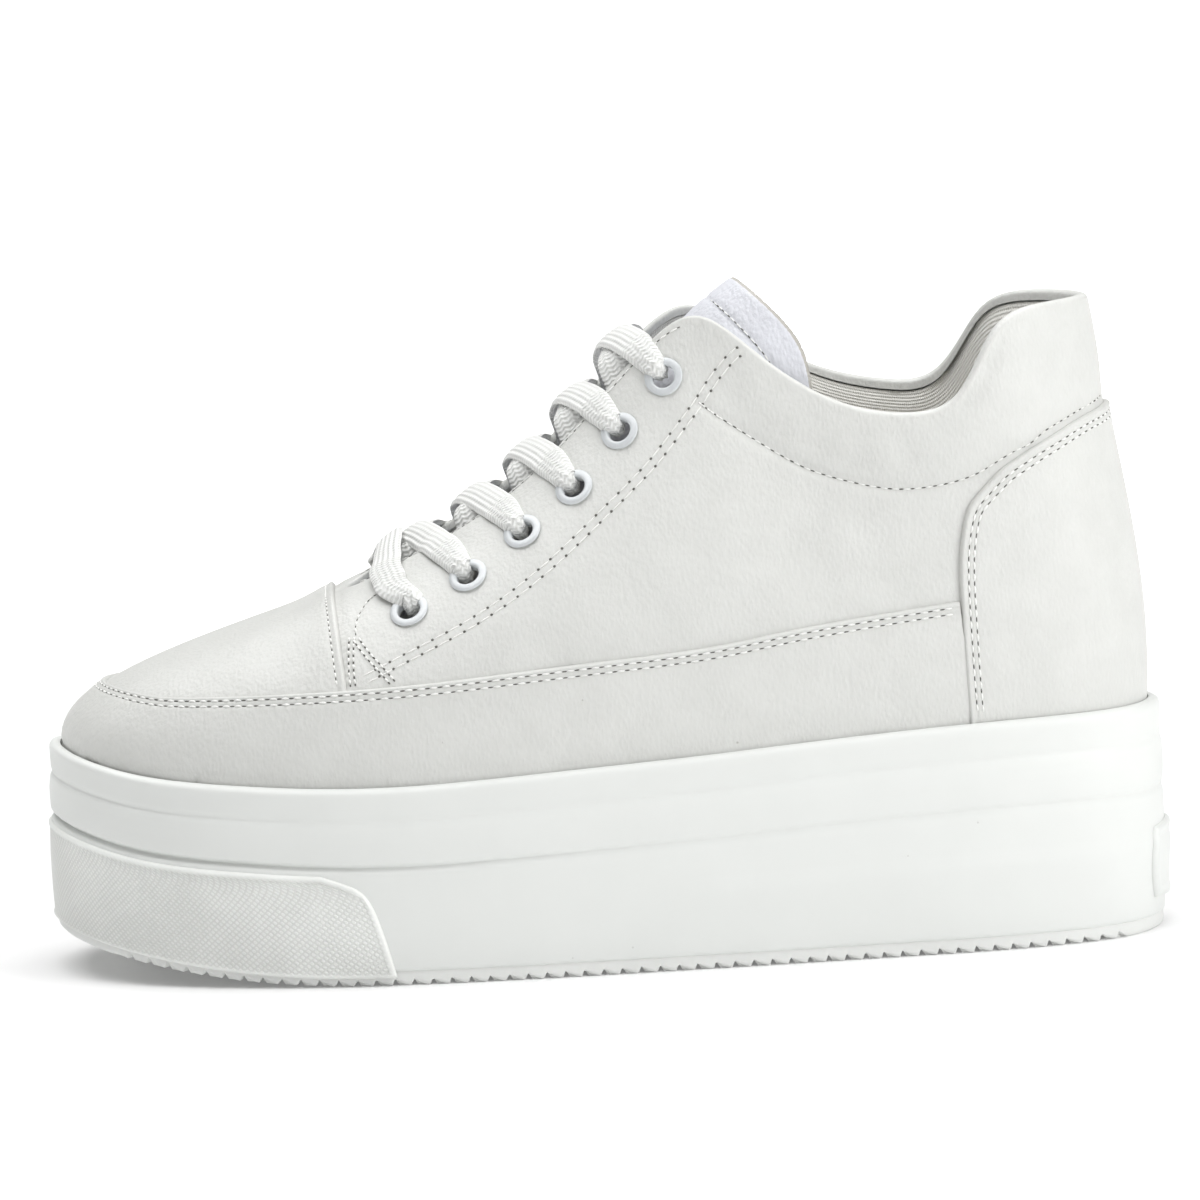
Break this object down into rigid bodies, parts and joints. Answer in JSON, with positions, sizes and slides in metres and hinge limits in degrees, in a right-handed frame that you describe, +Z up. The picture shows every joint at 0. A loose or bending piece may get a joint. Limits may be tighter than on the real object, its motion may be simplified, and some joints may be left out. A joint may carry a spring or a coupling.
{
  "type": "platform sneaker",
  "caption": "Low lace-up sneaker with a thick platform sole, a rubber toe bumper, a padded collar and an open, hollow upper; left shoe.",
  "frame": {"origin": "on the floor, under the middle of the shoe's bounding box", "axes": "+X from toe to heel, +Y towards the inner (medial) side of the foot, +Z up"},
  "size_m": [0.2692, 0.0992, 0.1587],
  "materials": {
    "rubber": "matt white sole",
    "footbed": "soft lining",
    "leather": "fine grain, satin",
    "tongue_leather": "fine grain, satin",
    "lace": "flat woven",
    "eyelet": "pale enamel"
  },
  "bodies": {
    "root": {"outsole": "rubber", "midsole": "rubber", "toe_bumper": "rubber", "heel_plate": "rubber", "insole": "footbed", "upper": "leather", "mudguard": "leather", "heel_counter": "leather", "tongue": "tongue_leather", "lace_bar": "lace", "lace_crossing_1": "lace", "lace_crossing_2": "lace", "lace_crossing_3": "lace", "lace_crossing_4": "lace", "lace_crossing_5": "lace", "eyelet_lateral_1": "eyelet", "eyelet_lateral_2": "eyelet", "eyelet_lateral_3": "eyelet", "eyelet_lateral_4": "eyelet", "eyelet_lateral_5": "eyelet", "eyelet_lateral_6": "eyelet", "eyelet_medial_1": "eyelet", "eyelet_medial_2": "eyelet", "eyelet_medial_3": "eyelet", "eyelet_medial_4": "eyelet", "eyelet_medial_5": "eyelet", "eyelet_medial_6": "eyelet"}
  },
  "joints": []
}
